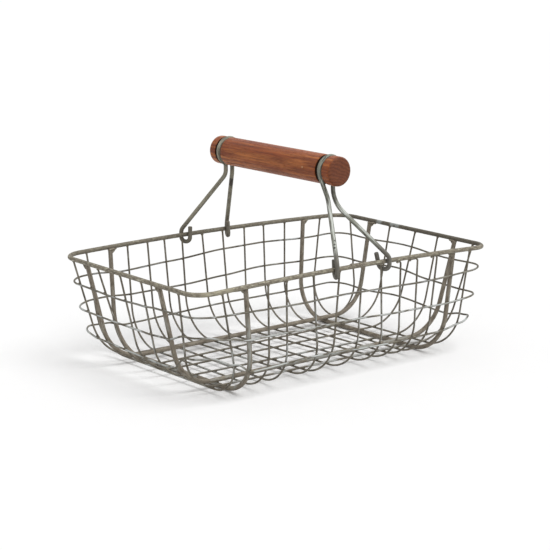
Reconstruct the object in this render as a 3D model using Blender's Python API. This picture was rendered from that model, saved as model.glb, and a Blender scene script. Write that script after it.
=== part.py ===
"""Kitchen basket of welded steel wire with a turned wooden grip.

The basket is an open tray: a thick wire rim, four thick ribs and sixteen thin
wires bent under it, and three thin hoops round its walls. Two wire bails hook
over the long sides of the rim and carry the grip in their loops.

Frame: +X along the long side, +Y to the far side, +Z up. The origin lies on
the table, below the middle of the basket. Lengths are in metres.
"""

import math

import bmesh
import bpy
from mathutils import Vector

# Clearance left between pieces that touch
TOUCH_GAP = 0.0003

# Rim: a closed ring of thick wire, its long sides arched up a little
RIM_LENGTH = 0.400
RIM_WIDTH = 0.250
RIM_CORNER_RADIUS = 0.0216
RIM_WIRE = 0.0050
RIM_HEIGHT = 0.1162
RIM_ARCH = 0.0039

# Thick ribs, whose tops turn over and run along under the rim
RIB_WIRE = 0.0048
RIB_ELBOW_RADIUS = 0.0045
RIB_TURNED_LENGTH = 0.0085

# Thin mesh wires, and the hoops round the walls
MESH_WIRE = 0.0020
HOOP_WIRE = 0.0020
HOOP_CORNER_RADIUS = 0.030

# Tray: how far the walls lean in towards the floor, and their outer bend
LONG_WALL_LEAN = 0.002
SHORT_WALL_LEAN = 0.022
WALL_BEND_RADIUS = 0.047

# Grip: a turned wooden bar with a groove near each end
GRIP_LENGTH = 0.209
GRIP_RADIUS = 0.0158
GRIP_END_ROUND = 0.0030
GRIP_AXIS_HEIGHT = 0.2171
GRIP_OFFSET = -0.0020
GROOVE_FROM_END = 0.0165
GROOVE_WIDTH = 0.0092
GROOVE_DEPTH = 0.0040
GROOVE_EDGE_ROUND = 0.0004

# Bails: one bent wire each, with a loop, two necks, two legs and two hooks.
# A pair of values is for the left leg and the right one.
BAIL_WIRE = 0.0046
LOOP_GAP = 0.0004
NECK_SPACING = 0.0090
NECK_BEND_RADIUS = 0.0040
NECK_LENGTHS = {"near_bail": (0.0070, 0.0180), "far_bail": (0.0100, 0.0080)}
SHOULDER_RADII = {"near_bail": (0.0120, 0.0360), "far_bail": (0.0140, 0.0140)}
KNEE_RADIUS = 0.0090
KNEE_ABOVE_RIM = 0.0050
HOOK_WIDTH = 0.0115
HOOK_DROP = 0.0083
HOOK_TAIL_RISE = 0.0095
HOOK_TURN = math.radians(26)

# Places along the rim's half length: near rim, near floor bend, far floor
# bend, far rim. The spacing is uneven, as in a basket welded by hand.
CROSS_MESH_SHARES = (
    (-0.848, -0.738, -0.764, -0.847),
    (-0.563, -0.546, -0.551, -0.580),
    (-0.445, -0.430, -0.406, -0.446),
    (-0.270, -0.219, -0.287, -0.332),
    (-0.094, -0.136, -0.179, -0.210),
    (0.060, 0.035, -0.016, -0.068),
    (0.192, 0.218, 0.120, 0.077),
    (0.332, 0.334, 0.246, 0.235),
    (0.455, 0.441, 0.392, 0.378),
    (0.600, 0.533, 0.531, 0.538),
    (0.845, 0.750, 0.739, 0.812),
)
CROSS_RIB_SHARES = (
    (-0.699, -0.651, -0.680, -0.698),
    (0.726, 0.659, 0.644, 0.674),
)

# Places along the rim's half width: left rim, left floor bend, right floor
# bend, right rim
LONG_MESH_SHARES = (
    (-0.746, -0.638, -0.630, -0.793),
    (-0.218, -0.238, -0.294, -0.338),
    (0.093, 0.018, 0.048, -0.036),
    (0.434, 0.216, 0.326, 0.316),
    (0.845, 0.640, 0.600, 0.870),
)
LONG_RIB_SHARES = (
    (-0.460, -0.520, -0.478, -0.574),
    (0.619, 0.530, 0.573, 0.590),
)

# Hoops, in shares of the rim's height: how deep the middle of each lies, and
# what its right end and its far side rise above that
HOOP_SHARES = {
    "upper_hoop": (0.210, 0.017, 0.004),
    "middle_hoop": (0.469, 0.026, 0.009),
    "lower_hoop": (0.744, 0.030, 0.013),
}

# How far each rib's two turned tops run along the rim, as shares of the full
# run; the sign tells which way
CROSS_RIB_TURN_SHARES = ((-1.00, 0.68), (-0.68, 0.68))
LONG_RIB_TURN_SHARES = ((0.72, 0.72), (0.72, -0.80))

# Middle of each hook along the rim's half length, and how far its tail tip
# leans along the rim, as a share of the hook's width: left hook, right hook
BAIL_HOOK_SHARES = {"near_bail": (-0.120, 0.216), "far_bail": (-0.184, 0.115)}
TAIL_LEAN_SHARES = {"near_bail": (0.10, -0.45), "far_bail": (0.05, -0.10)}

# Facets
RIM_SIDES = 12
THICK_SIDES = 8
THIN_SIDES = 6
BEND_STEPS = 8
ARCH_STEPS = 8
LOOP_STEPS = 24
GRIP_SIDES = 32
ROUND_STEPS = 3

# Finishes: base colour, roughness, metallic
AGED_STEEL = ((0.225, 0.195, 0.145), 0.55, 0.85)
DARK_WIRE = ((0.155, 0.138, 0.108), 0.55, 0.85)
BARE_STEEL = ((0.330, 0.330, 0.290), 0.42, 0.90)
REDDISH_WOOD = ((0.340, 0.115, 0.045), 0.48, 0.0)

# Sizes worked out from the ones above
CORNER_SIGNS = ((1, 1), (-1, 1), (-1, -1), (1, -1))
HALF_LENGTH = RIM_LENGTH / 2
HALF_WIDTH = RIM_WIDTH / 2
LAYER_HEIGHT = RIB_WIRE + TOUCH_GAP / 2
LAYER_DEPTH = RIM_HEIGHT - LAYER_HEIGHT
WALL_HALF_LENGTH = HALF_LENGTH + MESH_WIRE / 2
WALL_HALF_WIDTH = HALF_WIDTH + MESH_WIRE / 2
GROOVE_FLOOR_RADIUS = GRIP_RADIUS - GROOVE_DEPTH
LOOP_RADIUS = GROOVE_FLOOR_RADIUS + LOOP_GAP + BAIL_WIRE / 2
LOOP_PLACE = GRIP_LENGTH / 2 - GROOVE_FROM_END


def clear_scene():
    for item in list(bpy.data.objects):
        bpy.data.objects.remove(item, do_unlink=True)


def make_finish(name, finish):
    colour, roughness, metallic = finish
    material = bpy.data.materials.new(name + "_finish")
    material.use_nodes = True
    shader = material.node_tree.nodes["Principled BSDF"]
    shader.inputs["Base Color"].default_value = (*colour, 1.0)
    shader.inputs["Roughness"].default_value = roughness
    shader.inputs["Metallic"].default_value = metallic
    material.diffuse_color = (*colour, 1.0)
    return material


def add_piece(name, bm, finish, origin, parent):
    """Turn a bmesh in world places into an object whose origin is given."""
    bmesh.ops.recalc_face_normals(bm, faces=bm.faces)
    bmesh.ops.translate(bm, verts=bm.verts, vec=-origin)
    mesh = bpy.data.meshes.new(name)
    bm.to_mesh(mesh)
    bm.free()
    mesh.materials.append(make_finish(name, finish))
    mesh.shade_smooth()
    mesh.set_sharp_from_angle(angle=math.radians(50))
    piece = bpy.data.objects.new(name, mesh)
    piece.location = origin
    piece.parent = parent
    bpy.context.collection.objects.link(piece)
    return piece


def round_corners(corners, radii, steps=BEND_STEPS):
    """A path through corner points, with each inner corner bent to a radius."""
    path = [corners[0]]
    for before, corner, after, radius in zip(corners, corners[1:], corners[2:], radii):
        back = (before - corner).normalized()
        ahead = (after - corner).normalized()
        half_angle = back.angle(ahead) / 2
        reach = radius / math.tan(half_angle)
        centre = corner + (back + ahead).normalized() * (radius / math.sin(half_angle))
        start = (corner + back * reach - centre).normalized()
        end = (corner + ahead * reach - centre).normalized()
        for step in range(steps + 1):
            path.append(centre + start.slerp(end, step / steps) * radius)
    path.append(corners[-1])
    return path


def tangents(path, closed):
    count = len(path)
    result = []
    for index in range(count):
        before = path[(index - 1) % count] if closed or index else path[index]
        after = path[(index + 1) % count] if closed or index < count - 1 else path[index]
        result.append((after - before).normalized())
    return result


def facings(directions, seed, facing):
    """Carry one facing direction along the path from its seed point."""
    result = [None] * len(directions)
    result[seed] = (facing - directions[seed] * facing.dot(directions[seed])).normalized()
    for order in (range(seed + 1, len(directions)), range(seed - 1, -1, -1)):
        last = seed
        for index in order:
            turn = directions[last].rotation_difference(directions[index])
            result[index] = turn @ result[last]
            last = index
    return result


def wire_mesh(path, diameter, sides, facing, closed=False, seed=None):
    """A faceted wire along a path, one flat of it turned to the facing side."""
    if seed is None:
        seed = len(path) // 2
    directions = tangents(path, closed)
    flats = facings(directions, seed, facing)
    corner_radius = diameter / 2 / math.cos(math.pi / sides)
    bm = bmesh.new()
    rings = []
    for point, direction, flat in zip(path, directions, flats):
        across = direction.cross(flat)
        ring = []
        for side in range(sides):
            angle = 2 * math.pi * (side + 0.5) / sides
            offset = flat * math.cos(angle) + across * math.sin(angle)
            ring.append(bm.verts.new(point + offset * corner_radius))
        rings.append(ring)
    pairs = list(zip(rings, rings[1:]))
    if closed:
        pairs.append((rings[-1], rings[0]))
    for first, second in pairs:
        for side in range(sides):
            other = (side + 1) % sides
            bm.faces.new((first[side], first[other], second[other], second[side]))
    if not closed:
        bm.faces.new(rings[0])
        bm.faces.new(rings[-1])
    return bm


def rim_lift(x):
    """Height of the rim's arched centre line at a place along its length."""
    return RIM_HEIGHT + RIM_ARCH * (1 - (x / HALF_LENGTH) ** 2)


def rim_path():
    """The rim's centre line, with points along its two arched sides."""
    path = []
    quarter = math.pi / 2
    for index, (sx, sy) in enumerate(CORNER_SIGNS):
        for step in range(BEND_STEPS + 1):
            angle = quarter * (index + step / BEND_STEPS)
            x = sx * (HALF_LENGTH - RIM_CORNER_RADIUS) + RIM_CORNER_RADIUS * math.cos(angle)
            y = sy * (HALF_WIDTH - RIM_CORNER_RADIUS) + RIM_CORNER_RADIUS * math.sin(angle)
            path.append(Vector((x, y, rim_lift(x))))
        if index % 2 == 0:
            start = path[-1].x
            for step in range(1, ARCH_STEPS):
                x = start * (1 - 2 * step / ARCH_STEPS)
                path.append(Vector((x, path[-1].y, rim_lift(x))))
    return path


def wall_inset(depth, lean):
    """How far a straight wall has leaned in at a depth below the rim."""
    return lean * depth / RIM_HEIGHT


def bend_reach(lean, radius):
    """Length from a floor bend's corner to where its arc begins."""
    wall_angle = math.pi / 2 + math.atan2(lean, RIM_HEIGHT)
    return radius / math.tan(wall_angle / 2)


def floor_rise(place, half_top, lean, thickness):
    """Rise of a curved floor towards its wall, and its length per level length.

    The floor is the surface that lies thickness inside the wall's outer face.
    """
    radius = WALL_BEND_RADIUS - thickness
    corner = half_top - thickness - wall_inset(LAYER_DEPTH, lean)
    past = max(abs(place) - corner + bend_reach(lean, radius), 0)
    run = math.sqrt(radius ** 2 - past ** 2)
    return radius - run, radius / run


def corner_inset(place, half):
    """How far the rounded corners of the hoops cut in at a place along a side."""
    past = max(abs(place) - half + HOOP_CORNER_RADIUS, 0)
    return HOOP_CORNER_RADIUS - math.sqrt(HOOP_CORNER_RADIUS ** 2 - past ** 2)


def wall_face(depth, lean, floor_depth):
    """How far the outer face of a bent wall lies inside its top edge."""
    reach = bend_reach(lean, WALL_BEND_RADIUS)
    arc_depth = floor_depth - reach * math.cos(math.atan2(lean, RIM_HEIGHT))
    inset = wall_inset(min(depth, arc_depth), lean)
    if depth > arc_depth:
        centre_depth = floor_depth - WALL_BEND_RADIUS
        at_arc = math.sqrt(WALL_BEND_RADIUS ** 2 - (arc_depth - centre_depth) ** 2)
        here = math.sqrt(WALL_BEND_RADIUS ** 2 - (depth - centre_depth) ** 2)
        inset += at_arc - here
    return inset


def cross_bend(diameter):
    """Floor bend of a crosswise wire, about the same centre for any diameter."""
    return WALL_BEND_RADIUS - RIB_WIRE + diameter / 2


def long_bend(diameter):
    """Floor bend of a lengthwise wire, with one outer face for any diameter."""
    return WALL_BEND_RADIUS - diameter / 2


def top_depth(diameter):
    """Depth below the rim's centre line at which a wire meets its underside.

    A thin wire ends there with its cut end, and a thick rib with its side.
    """
    depth = RIM_WIRE / 2 + TOUCH_GAP
    if diameter > MESH_WIRE:
        depth += diameter / 2
    return depth


def cross_corners(shares, diameter):
    """Corner points of a wire that passes from the near to the far side."""
    near_top, near_floor, far_floor, far_top = (share * HALF_LENGTH for share in shares)
    top = top_depth(diameter)
    half = WALL_HALF_WIDTH - diameter / 2
    half_top = half - wall_inset(top, LONG_WALL_LEAN)
    half_floor = half - wall_inset(RIM_HEIGHT, LONG_WALL_LEAN)
    below = (diameter + TOUCH_GAP) / 2
    corners = [Vector((near_top, -half_top, rim_lift(near_top) - top))]
    for x, side in ((near_floor, -1), (far_floor, 1)):
        rise, tilt = floor_rise(x, WALL_HALF_LENGTH, SHORT_WALL_LEAN, 0)
        corners.append(Vector((x, side * half_floor, LAYER_HEIGHT + rise - below * tilt)))
    corners.append(Vector((far_top, half_top, rim_lift(far_top) - top)))
    return corners


def long_corners(shares, diameter):
    """Corner points of a wire that passes from the left to the right side."""
    left_top, left_floor, right_floor, right_top = (share * HALF_WIDTH for share in shares)
    top = top_depth(diameter)
    half = WALL_HALF_LENGTH - diameter / 2
    half_floor = half - wall_inset(LAYER_DEPTH, SHORT_WALL_LEAN)
    above = (diameter + TOUCH_GAP) / 2
    tops = []
    for y, side in ((left_top, -1), (right_top, 1)):
        half_top = half - wall_inset(top, SHORT_WALL_LEAN) - corner_inset(y, WALL_HALF_WIDTH)
        tops.append(Vector((side * half_top, y, RIM_HEIGHT - top)))
    floors = []
    for y, side in ((left_floor, -1), (right_floor, 1)):
        rise, tilt = floor_rise(y, WALL_HALF_WIDTH, LONG_WALL_LEAN, RIB_WIRE)
        floors.append(Vector((side * half_floor, y, LAYER_HEIGHT + rise + above * tilt)))
    return [tops[0]] + floors + [tops[1]]


def add_rim(parent):
    bm = wire_mesh(rim_path(), RIM_WIRE, RIM_SIDES, Vector((0, 0, 1)), closed=True)
    add_piece("rim", bm, AGED_STEEL, Vector((0, 0, RIM_HEIGHT)), parent)


def add_mesh_wire(name, corners, bend, parent):
    path = round_corners(corners, (bend, bend))
    bm = wire_mesh(path, MESH_WIRE, THIN_SIDES, Vector((0, 0, 1)))
    add_piece(name, bm, DARK_WIRE, Vector((0, 0, 0)), parent)


def add_rib(name, corners, bend, along_rim, turns, parent):
    """A thick rib: its two tops turn over and run along the rim."""
    first = corners[0] + along_rim * turns[0] * RIB_TURNED_LENGTH
    last = corners[-1] + along_rim * turns[1] * RIB_TURNED_LENGTH
    corners = [first] + corners + [last]
    path = round_corners(corners, (RIB_ELBOW_RADIUS, bend, bend, RIB_ELBOW_RADIUS))
    bm = wire_mesh(path, RIB_WIRE, THICK_SIDES, Vector((0, 0, 1)))
    add_piece(name, bm, AGED_STEEL, Vector((0, 0, 0)), parent)


def add_tray(parent):
    for index, shares in enumerate(CROSS_MESH_SHARES, 1):
        corners = cross_corners(shares, MESH_WIRE)
        add_mesh_wire(f"cross_wire_{index:02d}", corners, cross_bend(MESH_WIRE), parent)
    for index, shares in enumerate(LONG_MESH_SHARES, 1):
        corners = long_corners(shares, MESH_WIRE)
        add_mesh_wire(f"long_wire_{index}", corners, long_bend(MESH_WIRE), parent)
    for place, shares, turns in zip(("left", "right"), CROSS_RIB_SHARES, CROSS_RIB_TURN_SHARES):
        corners = cross_corners(shares, RIB_WIRE)
        bend = cross_bend(RIB_WIRE)
        add_rib(f"cross_rib_{place}", corners, bend, Vector((1, 0, 0)), turns, parent)
    for place, shares, turns in zip(("near", "far"), LONG_RIB_SHARES, LONG_RIB_TURN_SHARES):
        corners = long_corners(shares, RIB_WIRE)
        bend = long_bend(RIB_WIRE)
        add_rib(f"long_rib_{place}", corners, bend, Vector((0, 1, 0)), turns, parent)


def hoop_path(shares):
    """A hoop's centre line, with each corner seated on the walls at its depth."""
    depth, right_rise, far_rise = (share * RIM_HEIGHT for share in shares)
    proud = HOOP_WIRE / 2 + TOUCH_GAP
    corners = []
    for sx, sy in CORNER_SIGNS:
        here = depth - sx * right_rise - sy * far_rise
        x = WALL_HALF_LENGTH + proud - wall_face(here, SHORT_WALL_LEAN, LAYER_DEPTH)
        y = WALL_HALF_WIDTH + proud - wall_face(here, LONG_WALL_LEAN, RIM_HEIGHT)
        corners.append(Vector((sx * x, sy * y, RIM_HEIGHT - here)))
    seam = (corners[0] + corners[-1]) / 2
    path = round_corners([seam] + corners + [seam], [HOOP_CORNER_RADIUS] * len(corners))
    return path[:-1]


def add_hoops(parent):
    for name, shares in HOOP_SHARES.items():
        path = hoop_path(shares)
        bm = wire_mesh(path, HOOP_WIRE, THIN_SIDES, Vector((1, 0, 0)), closed=True, seed=0)
        add_piece(name, bm, DARK_WIRE, path[0].project(Vector((0, 0, 1))), parent)


def loop_path(side):
    """The open loop round the grip, from its left neck over to its right one."""
    neck = NECK_SPACING / 2
    across = neck + NECK_BEND_RADIUS
    down = math.sqrt((LOOP_RADIUS + NECK_BEND_RADIUS) ** 2 - across ** 2)
    opening = math.atan2(across, down)
    centre = Vector((GRIP_OFFSET, side * LOOP_PLACE, GRIP_AXIS_HEIGHT))
    right_half = []
    for step in range(BEND_STEPS + 1):
        angle = math.pi - (math.pi / 2 - opening) * step / BEND_STEPS
        x = across + NECK_BEND_RADIUS * math.cos(angle)
        z = NECK_BEND_RADIUS * math.sin(angle) - down
        right_half.append((x, z))
    for step in range(1, LOOP_STEPS // 2 + 1):
        angle = opening + (math.pi - opening) * 2 * step / LOOP_STEPS
        right_half.append((LOOP_RADIUS * math.sin(angle), -LOOP_RADIUS * math.cos(angle)))
    right_half[-1] = (0, LOOP_RADIUS)
    left_half = [(-x, z) for x, z in right_half]
    outline = left_half + right_half[-2::-1]
    return [centre + Vector((x, 0, z)) for x, z in outline]


def leg_path(name, leg, neck_end, side):
    """One leg, from below the neck to the tip of its hook's tail.

    leg is 0 for the left leg and 1 for the right one. The hook is turned so
    that its tail lies towards the middle of the bail.
    """
    hand = 2 * leg - 1
    foot = BAIL_HOOK_SHARES[name][leg] * HALF_LENGTH
    rim_height = rim_lift(foot)
    half_turn = HOOK_WIDTH / 2
    step_x = hand * half_turn * math.sin(HOOK_TURN)
    step_y = side * half_turn * math.cos(HOOK_TURN)
    outer = Vector((foot + step_x, side * HALF_WIDTH + step_y, 0))
    inner = Vector((foot - step_x, side * HALF_WIDTH - step_y, 0))
    lift = Vector((0, 0, 1))
    floor = lift * (rim_height - HOOK_DROP)
    lean = Vector((TAIL_LEAN_SHARES[name][leg] * HOOK_WIDTH, 0, 0))
    corners = [
        neck_end,
        neck_end - lift * NECK_LENGTHS[name][leg],
        outer + lift * (rim_height + KNEE_ABOVE_RIM),
        outer + floor,
        inner + floor,
        inner + lean + lift * (rim_height + HOOK_TAIL_RISE),
    ]
    hook_bend = half_turn - TOUCH_GAP
    radii = (SHOULDER_RADII[name][leg], KNEE_RADIUS, hook_bend, hook_bend)
    return round_corners(corners, radii)


def add_bail(name, side, parent):
    loop = loop_path(side)
    left_leg = leg_path(name, 0, loop[0], side)
    right_leg = leg_path(name, 1, loop[-1], side)
    path = left_leg[:0:-1] + loop + right_leg[1:]
    bm = wire_mesh(path, BAIL_WIRE, THICK_SIDES, Vector((0, 0, 1)))
    hinge = Vector((0, side * HALF_WIDTH, rim_lift(0)))
    add_piece(name, bm, BARE_STEEL, hinge, parent)


def grip_outline():
    """Radius and place along the axis, from one end of the grip to the other."""
    half = GRIP_LENGTH / 2
    half_groove = GROOVE_WIDTH / 2
    outline = []
    for step in range(ROUND_STEPS + 1):
        angle = math.pi / 2 * step / ROUND_STEPS
        radius = GRIP_RADIUS - GRIP_END_ROUND * (1 - math.sin(angle))
        outline.append((radius, -half + GRIP_END_ROUND * (1 - math.cos(angle))))
    floor_half = half_groove - GROOVE_EDGE_ROUND
    for edge in (-1, 1):
        steps = [
            (GRIP_RADIUS, half_groove + GROOVE_EDGE_ROUND),
            (GRIP_RADIUS - GROOVE_EDGE_ROUND, half_groove),
            (GROOVE_FLOOR_RADIUS + GROOVE_EDGE_ROUND, half_groove),
            (GROOVE_FLOOR_RADIUS, floor_half),
        ]
        for radius, off in steps[::-edge]:
            outline.append((radius, edge * off - LOOP_PLACE))
    return outline + [(radius, -place) for radius, place in reversed(outline)]


def add_grip(parent):
    centre = Vector((GRIP_OFFSET, 0, GRIP_AXIS_HEIGHT))
    bm = bmesh.new()
    rings = []
    for radius, place in grip_outline():
        ring = []
        for side in range(GRIP_SIDES):
            angle = 2 * math.pi * side / GRIP_SIDES
            spot = Vector((radius * math.cos(angle), place, radius * math.sin(angle)))
            ring.append(bm.verts.new(centre + spot))
        rings.append(ring)
    for first, second in zip(rings, rings[1:]):
        for side in range(GRIP_SIDES):
            other = (side + 1) % GRIP_SIDES
            bm.faces.new((first[side], first[other], second[other], second[side]))
    bm.faces.new(rings[0])
    bm.faces.new(rings[-1])
    add_piece("grip", bm, REDDISH_WOOD, centre + Vector((0, LOOP_PLACE, 0)), parent)


clear_scene()
basket = bpy.data.objects.new("basket", None)
bpy.context.collection.objects.link(basket)
add_rim(basket)
add_tray(basket)
add_hoops(basket)
add_bail("near_bail", -1, basket)
add_bail("far_bail", 1, basket)
add_grip(basket)
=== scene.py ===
"""Kitchen basket of welded steel wire with a turned wooden grip.

Places are in metres, in the frame of the CAD model: +X along the long side, +Y
to the far side and +Z up from the table.
"""

import math

import bmesh
import bpy
import numpy as np
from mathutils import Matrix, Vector, noise


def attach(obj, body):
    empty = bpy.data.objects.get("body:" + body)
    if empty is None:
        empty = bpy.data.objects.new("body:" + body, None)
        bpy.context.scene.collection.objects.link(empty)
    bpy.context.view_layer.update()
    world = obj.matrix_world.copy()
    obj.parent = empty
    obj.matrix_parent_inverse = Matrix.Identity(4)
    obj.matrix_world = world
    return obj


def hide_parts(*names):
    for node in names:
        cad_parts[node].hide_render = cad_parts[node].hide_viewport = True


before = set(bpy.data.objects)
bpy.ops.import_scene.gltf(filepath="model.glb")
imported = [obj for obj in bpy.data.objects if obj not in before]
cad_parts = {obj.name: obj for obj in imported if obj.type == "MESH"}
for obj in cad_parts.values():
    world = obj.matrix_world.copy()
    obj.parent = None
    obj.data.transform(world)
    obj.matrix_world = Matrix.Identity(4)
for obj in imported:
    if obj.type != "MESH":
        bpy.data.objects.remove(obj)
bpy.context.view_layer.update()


# Rim
# One length of thick round steel, bent at the four corners and butt-welded near
# the middle of the near side. The long sides arch up a little. It is matt,
# mottled with age and slightly uneven to the touch.

RIM_LENGTH = 0.400
RIM_WIDTH = 0.250
RIM_HEIGHT = 0.1162
RIM_ARCH = 0.0039
RIM_CORNER = 0.0216
RIM_WIRE = 0.0050
RIM_JOINT_AT = 0.0035
HALF_LENGTH = RIM_LENGTH / 2
HALF_WIDTH = RIM_WIDTH / 2
CORNER_SIGNS = ((1, 1), (-1, 1), (-1, -1), (1, -1))
WELD_GAP = 0.0003
UP = Vector((0, 0, 1))


def tone(red, green, blue):
    """A colour as read off the real thing, 0 to 255, turned into linear light."""
    steps = []
    for value in (red, green, blue):
        share = value / 255
        if share <= 0.04045:
            steps.append(share / 12.92)
        else:
            steps.append(((share + 0.055) / 1.055) ** 2.4)
    return (*steps, 1.0)


def feed(socket, value):
    """Joins an input to another node's output, or sets it."""
    if isinstance(value, bpy.types.NodeSocket):
        socket.id_data.links.new(value, socket)
    else:
        socket.default_value = value


def add_node(tree, kind, inputs=None, **settings):
    """A node with its settings made, and its inputs set or joined to others."""
    node = tree.nodes.new(kind)
    for key, value in settings.items():
        setattr(node, key, value)
    for key, value in (inputs or {}).items():
        feed(node.inputs[key], value)
    return node


def calc(operation, *values):
    """One step of arithmetic. At least one of the values comes from a node."""
    tree = next(value.id_data for value in values if isinstance(value, bpy.types.NodeSocket))
    return add_node(tree, "ShaderNodeMath", dict(enumerate(values)), operation=operation).outputs[0]


def times(value, factor, plus=0.0):
    return calc("MULTIPLY_ADD", value, factor, plus)


def vector_calc(operation, first, second=(0, 0, 0)):
    inputs = {0: first, 1: second}
    return add_node(first.id_data, "ShaderNodeVectorMath", inputs, operation=operation).outputs


def shifted(place, shift):
    return vector_calc("ADD", place, shift)["Vector"]


def stretched(place, stretch):
    return vector_calc("MULTIPLY", place, stretch)["Vector"]


def part(place, axis):
    return add_node(place.id_data, "ShaderNodeSeparateXYZ", {0: place}).outputs[axis]


def scaled(value, factor):
    """A colour made lighter or darker, or an arrow made longer or shorter."""
    inputs = {0: value, "Scale": factor}
    return add_node(value.id_data, "ShaderNodeVectorMath", inputs, operation="SCALE").outputs[0]


def cloud(place, scale, detail=3.0, roughness=0.55):
    """Soft random patches, from about 0.3 to 0.7, one over scale in size."""
    inputs = {"Vector": place, "Scale": scale, "Detail": detail, "Roughness": roughness}
    return add_node(place.id_data, "ShaderNodeTexNoise", inputs).outputs[0]


def above(value, limit, softness=0.05):
    """A mask that rises softly from 0 to 1 round a limit."""
    inputs = {"Value": calc("SUBTRACT", value, limit), "From Min": -softness, "From Max": softness}
    node = add_node(value.id_data, "ShaderNodeMapRange", inputs, interpolation_type="SMOOTHSTEP")
    return node.outputs[0]


def below(value, limit, softness=0.05):
    return calc("SUBTRACT", 1.0, above(value, limit, softness))


def blended(share, first, second):
    inputs = {0: share, 6: first, 7: second}
    return add_node(share.id_data, "ShaderNodeMix", inputs, data_type="RGBA").outputs[2]


def new_group(kind, title, inputs, outputs):
    """A node group, with what it is given and what it puts out."""
    tree = bpy.data.node_groups.new(title, kind)
    for label, socket, value in inputs:
        made = tree.interface.new_socket(label, in_out="INPUT", socket_type=socket)
        if value is not None:
            made.default_value = value
    for label, socket in outputs:
        tree.interface.new_socket(label, in_out="OUTPUT", socket_type=socket)
    return tree, add_node(tree, "NodeGroupInput").outputs, add_node(tree, "NodeGroupOutput").inputs


def steel_group():
    """Aged steel: a base colour with pale and dark patches, specks and bare spots."""
    number, colour = "NodeSocketFloat", "NodeSocketColor"
    tree, given, made = new_group(
        "ShaderNodeTree",
        "aged steel surface",
        (
            ("Place", "NodeSocketVector", None),
            ("Base", colour, tone(130, 122, 105)),
            ("Pale", colour, tone(160, 153, 135)),
            ("Dark", colour, tone(98, 90, 76)),
            ("Bare", colour, tone(190, 190, 182)),
            ("Patch size", number, 0.006),
            ("Pale above", number, 0.54),
            ("Dark above", number, 0.55),
            ("Bare above", number, 0.66),
        ),
        (("Color", colour), ("Roughness", number), ("Metallic", number), ("Height", number)),
    )
    place = given["Place"]
    often = calc("DIVIDE", 1.0, given["Patch size"])
    pale_cloud = cloud(place, often)
    dark_cloud = cloud(shifted(place, (3.1, 1.7, 0.4)), times(often, 1.4))
    specks = cloud(place, times(often, 5.0), 2.0)
    streaks = stretched(shifted(place, (1.3, 0.2, 2.9)), (0.30, 1.0, 1.0))
    rubbed = cloud(streaks, times(often, 2.2), 4.0, 0.6)
    bare = above(rubbed, given["Bare above"], 0.03)
    body = blended(above(pale_cloud, given["Pale above"]), given["Base"], given["Pale"])
    body = blended(above(dark_cloud, given["Dark above"]), body, given["Dark"])
    body = scaled(body, times(specks, 0.50, 0.75))
    feed(made["Color"], blended(bare, body, given["Bare"]))
    dull = times(specks, 0.30, 0.47)
    feed(made["Roughness"], times(bare, -0.18, dull))
    feed(made["Metallic"], times(bare, 0.50, 0.12))
    feed(made["Height"], times(specks, 0.5, pale_cloud))
    return tree


STEEL = steel_group()


def new_material(title, gloss):
    """A new material, and the inputs of its shader."""
    material = bpy.data.materials.new(title)
    material.use_nodes = True
    shader = material.node_tree.nodes["Principled BSDF"].inputs
    feed(shader["Specular IOR Level"], gloss)
    return material, shader


def roughen(shader, surface, bump_depth):
    """Gives a material the roughness and the bumps of a surface group."""
    feed(shader["Roughness"], surface["Roughness"])
    inputs = {"Height": surface["Height"], "Distance": bump_depth}
    feed(shader["Normal"], add_node(shader["Normal"].id_data, "ShaderNodeBump", inputs).outputs[0])


def surface_place(material):
    return add_node(material.node_tree, "ShaderNodeTexCoord").outputs["Object"]


def wire_attribute(material, label):
    node = add_node(material.node_tree, "ShaderNodeAttribute", attribute_name=label)
    return node.outputs["Vector"]


def along_wire(material, share):
    """The wire's surface as if laid straight, with its length drawn in by a share."""
    return stretched(wire_attribute(material, "laid_straight"), (share, 1.0, 1.0))


def facing(material, direction):
    """How far a wire's surface faces a direction, from -1 to 1."""
    return vector_calc("DOT_PRODUCT", wire_attribute(material, "turned_to"), direction)["Value"]


def by_label(values):
    return {key.replace("_", " ").capitalize(): value for key, value in values.items()}


def steel_finish(title, grain=None, bump_depth=0.00012, gloss=0.30, **values):
    """A steel material. Its pattern runs along the wire, drawn out by its grain."""
    material, shader = new_material(title, gloss)
    inputs = by_label(values)
    inputs["Place"] = along_wire(material, 1 / grain) if grain else surface_place(material)
    surface = add_node(material.node_tree, "ShaderNodeGroup", inputs, node_tree=STEEL).outputs
    feed(shader["Base Color"], surface["Color"])
    feed(shader["Metallic"], surface["Metallic"])
    roughen(shader, surface, bump_depth)
    return material


def tint(material, mask, colour, share):
    """Lays a colour over a material's own one where the mask is."""
    target = material.node_tree.nodes["Principled BSDF"].inputs["Base Color"]
    feed(target, blended(times(mask, share), target.links[0].from_socket, colour))


def round_places(material, places, reach):
    """A ragged mask round each of some places on a piece."""
    spot = surface_place(material)
    ragged = times(calc("SUBTRACT", cloud(spot, 400.0), 0.5), reach)
    mask = 0.0
    for place in places:
        away = calc("ADD", vector_calc("DISTANCE", spot, place)["Value"], ragged)
        mask = calc("MAXIMUM", mask, below(away, reach, reach * 0.35))
    return mask


def rub_and_highlight_outside(material, colour, share):
    """Rubbed bare streaks and painted highlight on low wall faces turned outward and up."""
    spot = surface_place(material)
    out = vector_calc("NORMALIZE", stretched(spot, (0.7, 1.0, 0.0)))["Vector"]
    turned = facing(material, shifted(out, (0.0, 0.0, 0.55)))
    turned = times(cloud(along_wire(material, 0.10), 500.0), 0.9, turned)
    low = below(part(spot, 2), 0.082, 0.016)
    stretch = above(cloud(spot, 45.0, 2.0), 0.50, 0.05)
    # Painted highlight together with rubbed wear, on the faces turned outward and up
    mask = times(times(low, stretch), above(turned, 1.15, 0.20))
    tint(material, mask, colour, share)


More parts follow.
